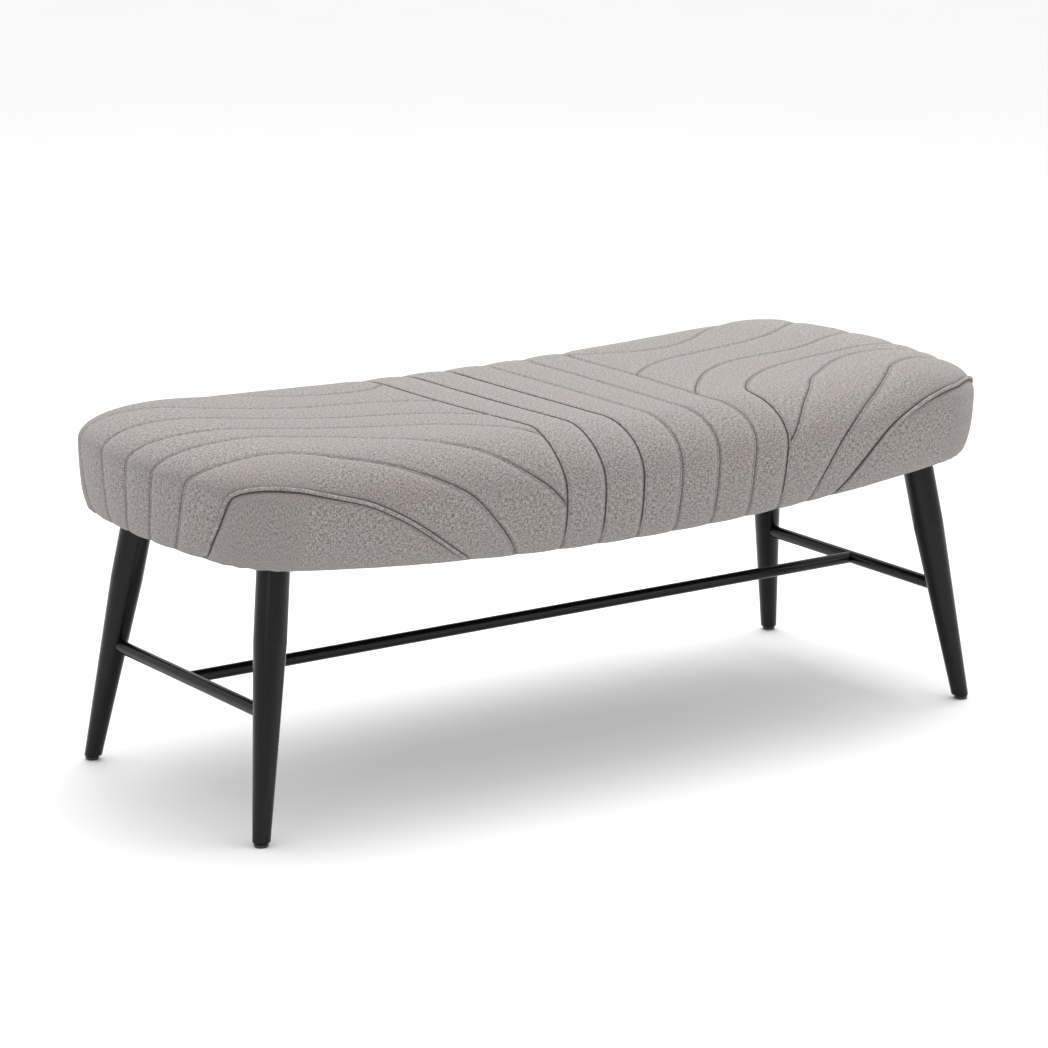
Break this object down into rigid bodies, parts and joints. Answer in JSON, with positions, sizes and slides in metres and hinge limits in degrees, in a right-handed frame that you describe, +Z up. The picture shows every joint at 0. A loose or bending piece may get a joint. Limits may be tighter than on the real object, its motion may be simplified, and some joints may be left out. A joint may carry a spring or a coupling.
{
  "type": "upholstered bench",
  "caption": "Long backless bench: saddle-shaped upholstered seat with stitched channels and piped waves, splayed round tapered legs, rod stretchers and levelling feet.",
  "frame": {"origin": "on the floor under the middle of the seat", "axes": "+X along the bench, -Y the front, +Z up"},
  "size_m": [1.2186, 0.5028, 0.4779],
  "materials": {
    "seat_fabric": "woven, heathered warm grey",
    "wadding": "bonded fibre",
    "foam": "open cell foam",
    "frame_wood": "raw birch",
    "black_wood": "satin black lacquer",
    "zinc_steel": "zinc plated",
    "foot_plastic": "black",
    "dust_cloth": "black non-woven"
  },
  "bodies": {
    "bench": {"seat_cover": "seat_fabric", "piping_left": "seat_fabric", "piping_right": "seat_fabric", "fibre_wrap": "wadding", "foam_block": "foam", "foam_edge_band": "foam", "front_rail": "frame_wood", "back_rail": "frame_wood", "left_rail": "frame_wood", "right_rail": "frame_wood", "cross_rail_left": "frame_wood", "cross_rail_right": "frame_wood", "seat_deck": "frame_wood", "corner_block_front_left": "frame_wood", "leg_plate_front_left": "zinc_steel", "leg_front_left": "black_wood", "foot_insert_front_left": "zinc_steel", "corner_block_front_right": "frame_wood", "leg_plate_front_right": "zinc_steel", "leg_front_right": "black_wood", "foot_insert_front_right": "zinc_steel", "corner_block_back_left": "frame_wood", "leg_plate_back_left": "zinc_steel", "leg_back_left": "black_wood", "foot_insert_back_left": "zinc_steel", "corner_block_back_right": "frame_wood", "leg_plate_back_right": "zinc_steel", "leg_back_right": "black_wood", "foot_insert_back_right": "zinc_steel", "hanger_bolts": "zinc_steel", "plate_screws": "zinc_steel", "block_screws": "zinc_steel", "deck_screws": "zinc_steel", "hem_staples": "zinc_steel", "cloth_staples": "zinc_steel", "dust_cover": "dust_cloth", "side_stretcher_left": "black_wood", "side_stretcher_right": "black_wood", "long_stretcher": "black_wood"},
    "leveller_front_left": {"leveller_front_left": "foot_plastic"},
    "leveller_front_right": {"leveller_front_right": "foot_plastic"},
    "leveller_back_left": {"leveller_back_left": "foot_plastic"},
    "leveller_back_right": {"leveller_back_right": "foot_plastic"}
  },
  "joints": [
    {"name": "level_front_left", "type": "slide", "parent": "bench", "child": "leveller_front_left", "axis": [0, 0, -1], "range_m": [0, 0.008]},
    {"name": "level_front_right", "type": "slide", "parent": "bench", "child": "leveller_front_right", "axis": [0, 0, -1], "range_m": [0, 0.008]},
    {"name": "level_back_left", "type": "slide", "parent": "bench", "child": "leveller_back_left", "axis": [0, 0, -1], "range_m": [0, 0.008]},
    {"name": "level_back_right", "type": "slide", "parent": "bench", "child": "leveller_back_right", "axis": [0, 0, -1], "range_m": [0, 0.008]}
  ]
}
